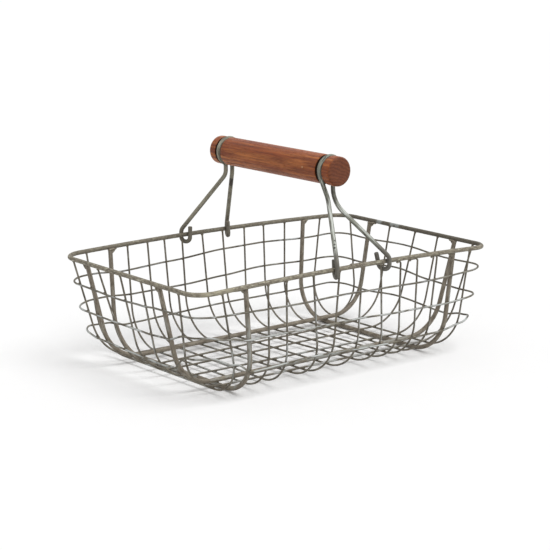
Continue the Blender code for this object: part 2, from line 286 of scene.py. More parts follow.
def next_step(geometry, kind, inputs=None, **settings):
    """The next step of a geometry tree, from what the last one put out."""
    inputs = {0: geometry, **(inputs or {})}
    return add_node(geometry.id_data, "GeometryNode" + kind, inputs, **settings).outputs[0]


def store(geometry, label, value, data_type="FLOAT_VECTOR"):
    inputs = {"Name": label, "Value": value}
    return next_step(geometry, "StoreNamedAttribute", inputs, data_type=data_type)


def stored(tree, label, data_type="FLOAT_VECTOR"):
    inputs = {"Name": label}
    return add_node(tree, "GeometryNodeInputNamedAttribute", inputs, data_type=data_type).outputs[0]


def moved_out(geometry, push):
    """Moves a surface along its own normals."""
    outward = add_node(geometry.id_data, "GeometryNodeInputNormal").outputs[0]
    return next_step(geometry, "SetPosition", {"Offset": scaled(outward, push)})


def wire_tree():
    """Sweeps a round wire along a line of points and leaves it slightly uneven."""
    number = "NodeSocketFloat"
    tree, given, made = new_group(
        "GeometryNodeTree",
        "round wire along a path",
        (
            ("Path", "NodeSocketGeometry", None),
            ("Thickness", number, 0.004),
            ("Sides", "NodeSocketInt", 16),
            ("Step", number, 0.002),
            ("Dent depth", number, 0.0001),
            ("Dent length", number, 0.008),
            ("Wire number", number, 0.0),
            ("Finish", "NodeSocketMaterial", None),
        ),
        (("Wire", "NodeSocketGeometry"),),
    )
    line = next_step(given["Path"], "MeshToCurve")
    line = next_step(line, "ResampleCurve", {"Length": given["Step"]}, mode="LENGTH")
    length = add_node(tree, "GeometryNodeSplineParameter").outputs["Length"]
    line = store(line, "along", length, "FLOAT")
    inputs = {"Resolution": given["Sides"], "Radius": times(given["Thickness"], 0.5)}
    ring = add_node(tree, "GeometryNodeCurvePrimitiveCircle", inputs).outputs[0]
    ring = store(ring, "across", add_node(tree, "GeometryNodeInputPosition").outputs[0])
    skin = next_step(line, "CurveToMesh", {"Profile Curve": ring, "Fill Caps": True})
    start = times(given["Wire number"], 0.53, stored(tree, "along", "FLOAT"))
    across = stored(tree, "across")
    inputs = {0: start, 1: part(across, 0), 2: part(across, 1)}
    laid = add_node(tree, "ShaderNodeCombineXYZ", inputs).outputs[0]
    skin = store(skin, "laid_straight", laid)
    dents = cloud(laid, calc("DIVIDE", 1.0, given["Dent length"]), 2.0)
    skin = moved_out(skin, times(times(dents, given["Dent depth"]), -1.0))
    skin = store(skin, "turned_to", add_node(tree, "GeometryNodeInputNormal").outputs[0])
    for spare in ("along", "across"):
        skin = next_step(skin, "RemoveAttribute", {"Name": spare})
    skin = next_step(next_step(skin, "SetShadeSmooth"), "RealizeInstances")
    feed(made["Wire"], next_step(skin, "SetMaterial", {"Material": given["Finish"]}))
    return tree


WIRE = wire_tree()


def grow(holder, tree, values, end_round=0.0):
    """Runs a tree on an object and keeps the result as its plain mesh."""
    modifier = holder.modifiers.new("growth", "NODES")
    modifier.node_group = tree
    for item in tree.interface.items_tree:
        if item.in_out == "INPUT" and item.name in values:
            modifier[item.identifier] = values[item.name]
    if end_round:
        bevel = holder.modifiers.new("ends", "BEVEL")
        bevel.limit_method = "ANGLE"
        bevel.angle_limit = math.radians(60)
        bevel.width = end_round
        bevel.segments = 3
    depsgraph = bpy.context.evaluated_depsgraph_get()
    mesh = bpy.data.meshes.new_from_object(
        holder.evaluated_get(depsgraph), preserve_all_data_layers=True, depsgraph=depsgraph
    )
    mesh.name = holder.name
    holder.modifiers.clear()
    holder.data = mesh
    return holder


def placed(title, data):
    """A new object in the scene."""
    made = bpy.data.objects.new(title, data)
    bpy.context.collection.objects.link(made)
    return made


def bend_wire(title, path, thickness, finish, number, closed=False, **values):
    """A round wire piece bent along a path of points, with its ends a little rounded."""
    line = bpy.data.meshes.new(title + "_line")
    links = [(index, index + 1) for index in range(len(path) - 1)]
    if closed:
        links.append((len(path) - 1, 0))
    line.from_pydata([tuple(point) for point in path], links, [])
    settings = {"Thickness": thickness, "Finish": finish, "Wire number": float(number)}
    settings.update(by_label(values))
    return grow(placed(title, line), WIRE, settings, 0.0 if closed else thickness * 0.16)


def finish_piece(piece, body, slot, *nodes):
    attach(piece, body)
    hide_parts(*nodes)


def rim_lift(x):
    """Height of the rim's arched centre line at a place along its length."""
    return RIM_HEIGHT + RIM_ARCH * (1 - (x / HALF_LENGTH) ** 2)


def rim_path(bend_steps=14, side_steps=24):
    """The rim's centre line, all the way round from its weld."""
    path = []
    for index, (sx, sy) in enumerate(CORNER_SIGNS):
        for step in range(bend_steps + 1):
            angle = math.pi / 2 * (index + step / bend_steps)
            x = sx * (HALF_LENGTH - RIM_CORNER) + RIM_CORNER * math.cos(angle)
            y = sy * (HALF_WIDTH - RIM_CORNER) + RIM_CORNER * math.sin(angle)
            path.append(Vector((x, y, rim_lift(x))))
        if index % 2 == 0:
            start = path[-1].x
            for step in range(1, side_steps):
                x = start * (1 - 2 * step / side_steps)
                path.append(Vector((x, path[-1].y, rim_lift(x))))
    near = [index for index, point in enumerate(path) if point.y < -HALF_WIDTH + 1e-6]
    start = min(near, key=lambda index: abs(path[index].x - RIM_JOINT_AT))
    return path[start:] + path[:start]


# Where the right end is rubbed bright, and where the near left corner is yellowed
HELD_BRIGHT = ((0.2000, 0.026, 0.1185), (0.2000, 0.034, 0.1185), (0.1985, 0.057, 0.1180))
YELLOWED = ((-0.190, -0.1255, 0.1195), (-0.176, -0.1265, 0.1200), (-0.162, -0.1265, 0.1205))

rim_steel = steel_finish(
    "aged_rim_steel",
    grain=2.2,
    base=tone(134, 126, 111),
    pale=tone(158, 152, 134),
    dark=tone(114, 107, 94),
    bare=tone(190, 188, 168),
    patch_size=0.0026,
    bare_above=0.64,
)
# Painted shade: the rim's inner side, which faces into the basket, is darkened, and darker still at
# the right end
inward = times(part(wire_attribute(rim_steel, "laid_straight"), 1), -1.0)
inner = above(inward, -0.0002, 0.0012)
right_end_shade = above(part(surface_place(rim_steel), 0), 0.192, 0.006)
tint(rim_steel, inner, tone(98, 93, 82), 0.45)
tint(rim_steel, times(right_end_shade, inner), tone(80, 75, 66), 0.55)
tint(rim_steel, round_places(rim_steel, HELD_BRIGHT, 0.0045), tone(176, 182, 180), 0.6)
tint(rim_steel, round_places(rim_steel, YELLOWED, 0.006), tone(174, 168, 144), 0.5)
rim_tube = bend_wire(
    "rim_tube", rim_path(), RIM_WIRE, rim_steel, 1,
    closed=True, sides=20, step=0.0025, dent_depth=0.00016,
)
finish_piece(rim_tube, "basket", "aged_steel", "rim")


# Crosswise ribs
# Two thick rods that pass under the whole basket from the near to the far
# side. They are bent round the floor, and their turned tops are welded along
# the underside of the rim. The basket stands on them.

RIB_WIRE = 0.0051
LONG_WALL_LEAN = 0.002
SHORT_WALL_LEAN = 0.022
WALL_BEND = 0.047
MESH_WIRE = 0.0022
HOOP_CORNER = 0.030
LAYER_HEIGHT = RIB_WIRE + WELD_GAP / 2
LAYER_DEPTH = RIM_HEIGHT - LAYER_HEIGHT
TOP_MELT = 0.0007
TOP_DEPTH = RIM_WIRE / 2 - TOP_MELT
WALL_HALF_LENGTH = HALF_LENGTH + MESH_WIRE / 2
WALL_HALF_WIDTH = HALF_WIDTH + MESH_WIRE / 2

# Places along half the length: near rim, near floor bend, far floor bend, far rim
CROSS_RIBS = {
    "left": ((-0.699, -0.651, -0.680, -0.698), (-1.00, 0.68)),
    "right": ((0.726, 0.659, 0.644, 0.674), (-0.68, 0.68)),
}


def round_corners(corners, radii, steps=12):
    """A path through corner points, with each inner corner bent to a radius."""
    path = [corners[0]]
    for before, corner, after, radius in zip(corners, corners[1:], corners[2:], radii):
        back = (before - corner).normalized()
        ahead = (after - corner).normalized()
        half_angle = back.angle(ahead) / 2
        reach = radius / math.tan(half_angle)
        centre = corner + (back + ahead).normalized() * (radius / math.sin(half_angle))
        start = (corner + back * reach - centre).normalized()
        end = (corner + ahead * reach - centre).normalized()
        for step in range(steps + 1):
            path.append(centre + start.slerp(end, step / steps) * radius)
    path.append(corners[-1])
    return path


def wall_inset(depth, lean):
    return lean * depth / RIM_HEIGHT


def bend_reach(lean, radius):
    """Length from a floor bend's corner to where its arc begins."""
    wall_angle = math.pi / 2 + math.atan2(lean, RIM_HEIGHT)
    return radius / math.tan(wall_angle / 2)


def floor_rise(place, half_top, lean, thickness):
    """Rise of the curved floor towards its wall, and its slope factor."""
    radius = WALL_BEND - thickness
    corner = half_top - thickness - wall_inset(LAYER_DEPTH, lean)
    past = max(abs(place) - corner + bend_reach(lean, radius), 0)
    run = math.sqrt(radius**2 - past**2)
    return radius - run, radius / run


def cross_corners(shares, thickness):
    near_top, near_floor, far_floor, far_top = (share * HALF_LENGTH for share in shares)
    half = WALL_HALF_WIDTH - thickness / 2
    half_top = half - wall_inset(TOP_DEPTH, LONG_WALL_LEAN)
    half_floor = half - wall_inset(RIM_HEIGHT, LONG_WALL_LEAN)
    beneath = (thickness + WELD_GAP) / 2
    corners = [Vector((near_top, -half_top, rim_lift(near_top) - TOP_DEPTH))]
    for x, side in ((near_floor, -1), (far_floor, 1)):
        rise, slope = floor_rise(x, WALL_HALF_LENGTH, SHORT_WALL_LEAN, 0)
        corners.append(Vector((x, side * half_floor, LAYER_HEIGHT + rise - beneath * slope)))
    corners.append(Vector((far_top, half_top, rim_lift(far_top) - TOP_DEPTH)))
    return corners


rib_steel = steel_finish(
    "aged_rib_steel",
    grain=3.0,
    base=tone(132, 123, 110),
    pale=tone(146, 138, 124),
    dark=tone(114, 105, 92),
    bare=tone(170, 168, 156),
    patch_size=0.0036,
    bare_above=0.67,
)
# Rubbed bare streaks and painted highlights low on the ribs' outer faces
rub_and_highlight_outside(rib_steel, tone(176, 178, 172), 0.7)
paths = {}
rib_turns = {}


def add_rib(node, title, corners, turns, number):
    """One rod, bent at its two lower corners."""
    bend = WALL_BEND - RIB_WIRE / 2
    paths[node] = round_corners(corners, (bend, bend))
    rib_turns[node] = turns
    rod = bend_wire(
        title, paths[node], RIB_WIRE, rib_steel, number, sides=18, step=0.0022, dent_depth=0.0001
    )
    finish_piece(rod, "basket", "aged_steel", node)


for number, (place, (shares, turns)) in enumerate(CROSS_RIBS.items(), 2):
    turns = [Vector((turn, 0, 0)) for turn in turns]
    corners = cross_corners(shares, RIB_WIRE)
    add_rib(f"cross_rib_{place}", f"crosswise_rod_{place}", corners, turns, number)


# Lengthwise ribs
# Two more thick rods, laid over the crosswise ones from the left to the right
# side and bent up the leaning short walls. Their tops are turned and welded
# under the rim like the others.

# Places along half the width: left rim, left floor bend, right floor bend, right rim
LONG_RIBS = {
    "near": ((-0.460, -0.520, -0.478, -0.574), (0.72, 0.72)),
    "far": ((0.619, 0.530, 0.573, 0.590), (0.72, -0.80)),
}


def corner_inset(place, half):
    """How far a hoop's rounded corner cuts in at a place along a side."""
    past = max(abs(place) - half + HOOP_CORNER, 0)
    return HOOP_CORNER - math.sqrt(HOOP_CORNER**2 - past**2)


def long_corners(shares, thickness):
    left_top, left_floor, right_floor, right_top = (share * HALF_WIDTH for share in shares)
    half = WALL_HALF_LENGTH - thickness / 2
    half_floor = half - wall_inset(LAYER_DEPTH, SHORT_WALL_LEAN)
    above_layer = (thickness + WELD_GAP) / 2
    tops = []
    for y, side in ((left_top, -1), (right_top, 1)):
        half_top = half - wall_inset(TOP_DEPTH, SHORT_WALL_LEAN) - corner_inset(y, WALL_HALF_WIDTH)
        tops.append(Vector((side * half_top, y, RIM_HEIGHT - TOP_DEPTH)))
    floors = []
    for y, side in ((left_floor, -1), (right_floor, 1)):
        rise, slope = floor_rise(y, WALL_HALF_WIDTH, LONG_WALL_LEAN, RIB_WIRE)
        floors.append(Vector((side * half_floor, y, LAYER_HEIGHT + rise + above_layer * slope)))
    return [tops[0], *floors, tops[1]]


for number, (place, (shares, turns)) in enumerate(LONG_RIBS.items(), 4):
    turns = [Vector((0, turn, 0)) for turn in turns]
    corners = long_corners(shares, RIB_WIRE)
    add_rib(f"long_rib_{place}", f"lengthwise_rod_{place}", corners, turns, number)


# Crosswise mesh wires
# Eleven thin wires bent like the crosswise ribs and set about 28 mm apart by eye,
# counting the ribs. Their cut ends are melted into the underside of the rim.

CROSS_WIRES = (
    (-0.848, -0.738, -0.764, -0.847),
    (-0.563, -0.546, -0.551, -0.580),
    (-0.445, -0.430, -0.406, -0.446),
    (-0.270, -0.219, -0.287, -0.332),
    (-0.094, -0.136, -0.179, -0.210),
    (0.060, 0.035, -0.016, -0.068),
    (0.192, 0.218, 0.120, 0.077),
    (0.332, 0.334, 0.246, 0.235),
    (0.455, 0.441, 0.392, 0.378),
    (0.600, 0.533, 0.531, 0.538),
    (0.845, 0.750, 0.739, 0.812),
)

# Near tops that are bent to the left under the rim, by wire number, with their length
TURNED_TOPS = {8: 0.0045, 9: 0.0110, 10: 0.0085}
TURNED_TOP_BEND = 0.0026
TURNED_TOP_MELT = 0.0014

mesh_steel = steel_finish(
    "dark_mesh_wire",
    grain=4.0,
    bump_depth=0.00006,
    base=tone(114, 107, 95),
    pale=tone(134, 128, 115),
    dark=tone(92, 86, 75),
    bare=tone(172, 172, 166),
    patch_size=0.0028,
)
# Rubbed bare streaks and painted highlights low on the wires' outer faces
rub_and_highlight_outside(mesh_steel, tone(184, 187, 184), 0.8)


def add_mesh_wire(node, title, path, number):
    paths[node] = path
    wire = bend_wire(
        title, path, MESH_WIRE, mesh_steel, number, sides=12, step=0.003, dent_depth=0.0001
    )
    finish_piece(wire, "basket", "dark_wire", node)


for number, shares in enumerate(CROSS_WIRES, 1):
    bend = WALL_BEND - RIB_WIRE + MESH_WIRE / 2
    path = round_corners(cross_corners(shares, MESH_WIRE), (bend, bend))
    if number in TURNED_TOPS:
        top = path[0] - UP * (RIM_WIRE / 2 + MESH_WIRE / 2 - TURNED_TOP_MELT - TOP_DEPTH)
        end = top - Vector((TURNED_TOPS[number], 0, 0))
        path = round_corners([end, top, path[1]], (TURNED_TOP_BEND,)) + path[2:]
    add_mesh_wire(f"cross_wire_{number:02d}", f"crosswise_wire_{number:02d}", path, 10 + number)


# Lengthwise mesh wires
# Five thin wires from the left to the right side, laid over the crosswise ones
# and spot-welded wherever they cross.

LONG_WIRES = (
    (-0.746, -0.638, -0.630, -0.793),
    (-0.218, -0.238, -0.294, -0.338),
    (0.093, 0.018, 0.048, -0.036),
    (0.434, 0.216, 0.326, 0.316),
    (0.845, 0.640, 0.600, 0.870),
)

for number, shares in enumerate(LONG_WIRES, 1):
    bend = WALL_BEND - MESH_WIRE / 2
    path = round_corners(long_corners(shares, MESH_WIRE), (bend, bend))
    add_mesh_wire(f"long_wire_{number}", f"lengthwise_wire_{number}", path, 30 + number)


# Hoops
# Three thin wire hoops, each bent to a rounded rectangle, closed by a butt weld
# and spot-welded round the outside of the walls. They rise and sag a little
# between the welds and arch up at some corners. Handling has rubbed them bare,
# and low on the walls their outward, upward faces carry painted highlights.

HOOP_WIRE = 0.0022

# Shares of the rim's height: depth, rise of the right end, rise of the far side
HOOPS = {
    "upper_hoop": (0.210, 0.017, 0.004),
    "middle_hoop": (0.469, 0.026, 0.009),
    "lower_hoop": (0.744, 0.030, 0.013),
}

# Each hoop's bends, chosen from measured heights: places in sides round it
# from the far right corner over the far side, and its rise there in millimetres
HOOP_BENDS = {
    "upper_hoop": (
        (0.00, 1.0), (0.12, 0.0), (0.33, 3.5), (0.45, 3.3), (0.64, -0.5), (0.81, -2.8),
        (0.90, -0.5), (1.14, -1.0), (1.42, -2.3), (1.60, -1.0), (1.71, 1.1), (1.90, 2.5),
        (2.05, 3.5), (2.33, 0.9), (2.46, 1.5), (2.58, 0.0), (2.76, -1.9), (3.00, 0.5),
        (3.27, -1.3), (3.55, 2.1), (3.84, -0.8),
    ),
    "middle_hoop": (
        (0.00, 1.0), (0.11, 0.6), (0.32, 3.7), (0.45, 1.2), (0.60, -1.0), (0.78, -0.6),
        (0.88, 1.8), (1.00, 0.5), (1.30, -0.3), (1.60, 0.2), (1.74, 2.3), (1.88, 12.0),
        (2.00, 13.5), (2.08, 10.0), (2.14, 5.0), (2.50, 2.9), (2.68, 0.0), (2.85, -1.7),
        (2.95, 0.0), (3.16, -2.5), (3.35, -1.0), (3.57, 3.2), (3.85, -1.3),
    ),
    "lower_hoop": (
        (0.00, 0.8), (0.11, -1.6), (0.50, 0.7), (0.83, -1.0), (0.90, 4.5), (1.00, 7.0),
        (1.10, 6.2), (1.16, 3.0), (1.50, 1.0), (1.66, 0.5), (1.74, 2.8), (1.88, 21.0),
        (2.00, 23.5), (2.075, 15.5), (2.14, 3.0), (2.34, 4.5), (2.65, -0.9), (2.85, -0.8),
        (2.93, 4.0), (3.00, 7.0), (3.12, 3.3), (3.20, -0.5), (3.54, 3.2), (3.78, -0.6),
    ),
}

# Half the wall's length, its lean and its floor's depth, along X and along Y
WALLS = (
    (WALL_HALF_LENGTH, SHORT_WALL_LEAN, LAYER_DEPTH),
    (WALL_HALF_WIDTH, LONG_WALL_LEAN, RIM_HEIGHT),
)


def wall_face(depth, lean, floor_depth):
    """How far the outer face of a bent wall lies inside its top edge."""
    reach = bend_reach(lean, WALL_BEND)
    arc_depth = floor_depth - reach * math.cos(math.atan2(lean, RIM_HEIGHT))
    inset = wall_inset(min(depth, arc_depth), lean)
    if depth > arc_depth:
        centre_depth = floor_depth - WALL_BEND
        at_arc = math.sqrt(WALL_BEND**2 - (arc_depth - centre_depth) ** 2)
        here = math.sqrt(WALL_BEND**2 - (depth - centre_depth) ** 2)
        inset += at_arc - here
    return inset


def fine_points(path, step=0.001):
    points = []
    for first, second in zip(path, path[1:]):
        count = max(1, math.ceil((second - first).length / step))
        for index in range(count):
            points.append(first.lerp(second, index / count))
    points.append(path[-1])
    return np.array([tuple(point) for point in points])


def hoop_rise(bends, place):
    """Rise of a hoop at a place round it, eased from each bend to the next."""
    ring = (*bends, (4.0, bends[0][1]))
    for (start, before), (end, after) in zip(ring, ring[1:]):
        if place <= end:
            share = (place - start) / (end - start)
            return (before + (after - before) * share**2 * (3 - 2 * share)) / 1000


def hoop_reach(axis, depth):
    """How far out a hoop runs at a depth, along X or along Y."""
    half, lean, floor_depth = WALLS[axis]
    return half + HOOP_WIRE / 2 + WELD_GAP - wall_face(depth, lean, floor_depth)


def bent_along_wall(point, bends):
    """A flat hoop's point moved to its bend's height, still on the wall's face."""
    depth = RIM_HEIGHT - point.z
    reach = [hoop_reach(axis, depth) for axis in (0, 1)]
    across, along = point.x / reach[0], point.y / reach[1]
    if abs(along) > abs(across):
        place = 1.5 - along / abs(along) - across / along / 2
    else:
        place = (2.5 + across / abs(across) + along / across / 2) % 4
    rise = hoop_rise(bends, place)
    moved = Vector((0, 0, rise))
    for axis in (0, 1):
        outward = min(max((abs(point[axis]) - reach[axis]) / HOOP_CORNER + 1, 0), 1)
        out = hoop_reach(axis, depth - rise) - reach[axis]
        moved[axis] = math.copysign(outward * out, point[axis])
    return point + moved


def hoop_path(shares, bends):
    depth, right_rise, far_rise = (share * RIM_HEIGHT for share in shares)
    corners = []
    for sx, sy in CORNER_SIGNS:
        here = depth - sx * right_rise - sy * far_rise
        x, y = sx * hoop_reach(0, here), sy * hoop_reach(1, here)
        corners.append(Vector((x, y, RIM_HEIGHT - here)))
    seam = (corners[0] + corners[-1]) / 2
    path = round_corners([seam, *corners, seam], [HOOP_CORNER] * len(corners))
    return [bent_along_wall(Vector(point), bends) for point in fine_points(path, step=0.003)[:-1]]


hoop_steel = steel_finish(
    "rubbed_highlit_hoop_wire",
    grain=5.0,
    bump_depth=0.00006,
    base=tone(112, 106, 93),
    pale=tone(136, 131, 118),
    dark=tone(88, 82, 71),
    bare=tone(182, 186, 186),
    patch_size=0.0032,
    dark_above=0.56,
    bare_above=0.60,
)
# Rubbed bare streaks and painted highlights low on the hoops' outer faces
rub_and_highlight_outside(hoop_steel, tone(196, 200, 198), 0.85)
for number, (node, shares) in enumerate(HOOPS.items(), 40):
    path = hoop_path(shares, HOOP_BENDS[node])
    paths[node] = path + path[:1]
    hoop = bend_wire(
        node.replace("_", "_wire_"), path, HOOP_WIRE, hoop_steel, number,
        closed=True, sides=12, step=0.003, dent_depth=0.0001,
    )
    finish_piece(hoop, "basket", "dark_wire", node)


# Spot welds
# Each crossing of two wires is pressed together and melted, which leaves a
# small flat lump between them. The wires' tops have a lump at the rim, the
# ribs' tops a bead along it, and the rim's own butt weld a swelling.

# Reach of each lump along its run, across it and the way it faces
CROSSING_LUMP = (0.00125, 0.00125, 0.0008)
HOOP_LUMP = (0.0012, 0.0012, 0.0008)
TOP_LUMP = (0.0015, 0.0015, 0.0013)
TOP_LUMP_DEPTH = 0.0010

# A rib's turned top: a slanting web, a run along the rim and a collar
WEB_ALONG = 0.0037
WEB_DEPTH = 0.0025
WEB_LUMP = (0.0046, 0.0021, 0.0014)
RUN_ALONG = 0.0080
RUN_DEPTH = 0.0005
RUN_LUMP = (0.0095, 0.0021, 0.0013)
COLLAR_DEPTH = 0.0012
COLLAR_LUMP = (0.0028, 0.0026, 0.0016)

# The rim's butt weld: how far along and up each lump sits, and its reach
JOINT_LUMPS = (
    (0.0, 0.0004, (0.0105, 0.0027, 0.0029)),
    (0.0050, 0.0003, (0.0040, 0.0028, 0.0027)),
    (-0.0055, 0.0005, (0.0034, 0.0026, 0.0027)),
)


def weld_tree():
    """Sets a small melted lump at each point, turned and stretched as it says."""
    number, whole = "NodeSocketFloat", "NodeSocketInt"
    tree, given, made = new_group(
        "GeometryNodeTree",
        "welds at points",
        (
            ("Points", "NodeSocketGeometry", None),
            ("Least size", number, 0.85),
            ("Most size", number, 1.15),
            ("Unevenness", number, 0.0002),
            ("Sides", whole, 8),
            ("Seed", whole, 4),
            ("Finish", "NodeSocketMaterial", None),
        ),
        (("Welds", "NodeSocketGeometry"),),
    )
    align = "FunctionNodeAlignRotationToVector"
    turn = add_node(tree, align, {"Vector": stored(tree, "facing")}, axis="Z")
    inputs = {"Rotation": turn.outputs[0], "Vector": stored(tree, "run")}
    turn = add_node(tree, align, inputs, axis="X", pivot_axis="Z")
    rings = times(given["Sides"], 0.65)
    inputs = {"Segments": given["Sides"], "Rings": rings, "Radius": 1.0}
    lump = add_node(tree, "GeometryNodeMeshUVSphere", inputs)
    inputs = {2: given["Least size"], 3: given["Most size"], 8: given["Seed"]}
    spread = add_node(tree, "FunctionNodeRandomValue", inputs, data_type="FLOAT").outputs[1]
    size = scaled(stored(tree, "reach"), spread)
    inputs = {"Instance": lump.outputs[0], "Rotation": turn.outputs[0], "Scale": size}
    lumps = next_step(next_step(given["Points"], "MeshToPoints"), "InstanceOnPoints", inputs)
    lumps = next_step(lumps, "RealizeInstances")
    bumps = cloud(add_node(tree, "GeometryNodeInputPosition").outputs[0], 700.0, 1.0)
    lumps = moved_out(lumps, times(calc("SUBTRACT", bumps, 0.5), given["Unevenness"]))
    lumps = next_step(lumps, "SetShadeSmooth")
    feed(made["Welds"], next_step(lumps, "SetMaterial", {"Material": given["Finish"]}))
    return tree


WELDS = weld_tree()


def meeting(first, second):
    """Where two paths come nearest: the middle, and the way across."""
    away = np.linalg.norm(first[:, None] - second[None], axis=2)
    row, column = np.unravel_index(away.argmin(), away.shape)
    here, there = Vector(first[row]), Vector(second[column])
    return (here + there) / 2, (there - here).normalized()


def add_welds(title, welds, finish, sides):
    """One piece of many lumps. A weld is its middle, facing, run and reach."""
    spots = bpy.data.meshes.new(title + "_spots")
    spots.from_pydata([tuple(weld[0]) for weld in welds], [], [])
    for index, label in enumerate(("facing", "run", "reach"), 1):
        layer = spots.attributes.new(label, "FLOAT_VECTOR", "POINT")
        layer.data.foreach_set("vector", [value for weld in welds for value in weld[index]])
    piece = placed(title, spots)
    grow(piece, WELDS, {"Finish": finish, "Seed": len(welds), "Sides": sides})
    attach(piece, "basket")


ALONG = Vector((1, 0, 0))
fine = {name: fine_points(path) for name, path in paths.items()}
cross_names = [name for name in paths if name.startswith("cross")]
long_names = [name for name in paths if name.startswith("long")]
crossing_welds = []
for cross in cross_names:
    for other in long_names:
        crossing = meeting(fine[cross], fine[other])
        crossing_welds.append((*crossing, ALONG, CROSSING_LUMP))
for hoop in HOOPS:
    for name in cross_names + long_names:
        axis = 1 if name in cross_names else 0
        for side in (-1, 1):
            wall = fine[name][fine[name][:, axis] * side > 0]
            band = fine[hoop][fine[hoop][:, axis] * side > 0]
            crossing_welds.append((*meeting(wall, band), UP, HOOP_LUMP))
crossing_steel = steel_finish(
    "melted_crossings",
    bump_depth=0.00006,
    base=tone(112, 105, 92),
    pale=tone(134, 127, 113),
    dark=tone(88, 81, 70),
    bare=tone(166, 164, 154),
    patch_size=0.0030,
    dark_above=0.58,
)
add_welds("crossing_welds", crossing_welds, crossing_steel, 8)


def turned_top(end, turn):
    """The lumps of a rib's turned top. A longer turn has a longer run."""
    away = turn.normalized()
    size = turn.length**2
    slant = (away + UP).normalized()
    across = (UP - away).normalized()
    web = end + away * WEB_ALONG - UP * WEB_DEPTH
    run = end + away * RUN_ALONG * size - UP * RUN_DEPTH
    collar = end - UP * COLLAR_DEPTH
    return [
        (web, across, slant, WEB_LUMP),
        (run, UP, away, (RUN_LUMP[0] * size, *RUN_LUMP[1:])),
        (collar, UP, away, COLLAR_LUMP),
    ]


rim_welds = []
for name in cross_names + long_names:
    ends = (paths[name][0], paths[name][-1])
    if name in rib_turns:
        for end, turn in zip(ends, rib_turns[name]):
            rim_welds += turned_top(end, turn)
    else:
        for end in ends:
            rim_welds.append((end - UP * TOP_LUMP_DEPTH, UP, ALONG, TOP_LUMP))
joint = Vector((RIM_JOINT_AT, -HALF_WIDTH, rim_lift(RIM_JOINT_AT)))
for shift, rise, reach in JOINT_LUMPS:
    rim_welds.append((joint + ALONG * shift + UP * rise, UP, ALONG, reach))
rim_weld_steel = steel_finish(
    "aged_rim_welds",
    base=tone(130, 122, 108),
    pale=tone(152, 145, 129),
    dark=tone(108, 100, 87),
    bare=tone(186, 184, 168),
    patch_size=0.0040,
    dark_above=0.56,
)
add_welds("rim_welds", rim_welds, rim_weld_steel, 16)


# Bails
# Two bent wires of springy steel. Each wraps the grip in its groove, spreads
# into two legs, and ends in open hooks that hang on the rim. The near one is
# worn nearly bright, the far one is browner, and the hooks are stained dark.
# The legs carry painted highlights on their upper left sides and painted shade
# on the sides turned away, and the loops painted shade towards the groove wall.

BAIL_WIRE = 0.0049
LOOP_GAP = 0.0001
NECK_SPACING = 0.0090
NECK_BEND = 0.0040
SLANT_FROM = math.radians(66)
SLANT_LENGTH = 0.0200
NECK_LENGTHS = {"near_bail": (0.0070, 0.0180), "far_bail": (0.0100, 0.0080)}
SHOULDERS = {"near_bail": (0.0120, 0.0360), "far_bail": (0.0140, 0.0140)}
KNEE_BEND = 0.0090
KNEE_ABOVE_RIM = 0.0050
HOOK_WIDTH = 0.0112
HOOK_DROP = 0.0083
HOOK_TAIL_RISE = 0.0095
HOOK_TURN = math.radians(26)
HOOK_PLACES = {"near_bail": (-0.120, 0.216), "far_bail": (-0.184, 0.115)}
TAIL_LEANS = {"near_bail": (-0.08, -0.45), "far_bail": (0.05, -0.10)}
GRIP_LENGTH = 0.209
GRIP_RADIUS = 0.0158
GRIP_AXIS_HEIGHT = 0.2171
GRIP_OFFSET = -0.0020
GROOVE_FROM_END = 0.0165
GROOVE_DEPTH = 0.0040
LOOP_RADIUS = GRIP_RADIUS - GROOVE_DEPTH + LOOP_GAP + BAIL_WIRE / 2
LOOP_PLACE = GRIP_LENGTH / 2 - GROOVE_FROM_END


def loop_path(side, bend_steps=10, loop_steps=48):
    """The open loop round the grip, from its left neck over to its right one.

    On its left the near loop has no neck, but runs straight on into the leg.
    """
    across = NECK_SPACING / 2 + NECK_BEND
    down = math.sqrt((LOOP_RADIUS + NECK_BEND) ** 2 - across**2)
    opening = math.atan2(across, down)
    centre = Vector((GRIP_OFFSET, side * LOOP_PLACE, GRIP_AXIS_HEIGHT))
    right_half = []
    for step in range(bend_steps + 1):
        angle = math.pi - (math.pi / 2 - opening) * step / bend_steps
        x, z = NECK_BEND * math.cos(angle), NECK_BEND * math.sin(angle)
        right_half.append((across + x, z - down))
    for step in range(1, loop_steps // 2 + 1):
        angle = opening + (math.pi - opening) * 2 * step / loop_steps
        right_half.append((LOOP_RADIUS * math.sin(angle), -LOOP_RADIUS * math.cos(angle)))
    left_half = [(-x, z) for x, z in right_half]
    if side < 0:
        left_half = [(x, z) for x, z in left_half if z > -LOOP_RADIUS * math.cos(SLANT_FROM)]
        start = Vector((-math.sin(SLANT_FROM), -math.cos(SLANT_FROM))) * LOOP_RADIUS
        onward = Vector((math.cos(SLANT_FROM), -math.sin(SLANT_FROM)))
        slant = [start + onward * (SLANT_LENGTH * step / 8) for step in range(8, -1, -1)]
        left_half = [tuple(spot) for spot in slant] + left_half
    return [centre + Vector((x, 0, z)) for x, z in left_half + right_half[-2::-1]]


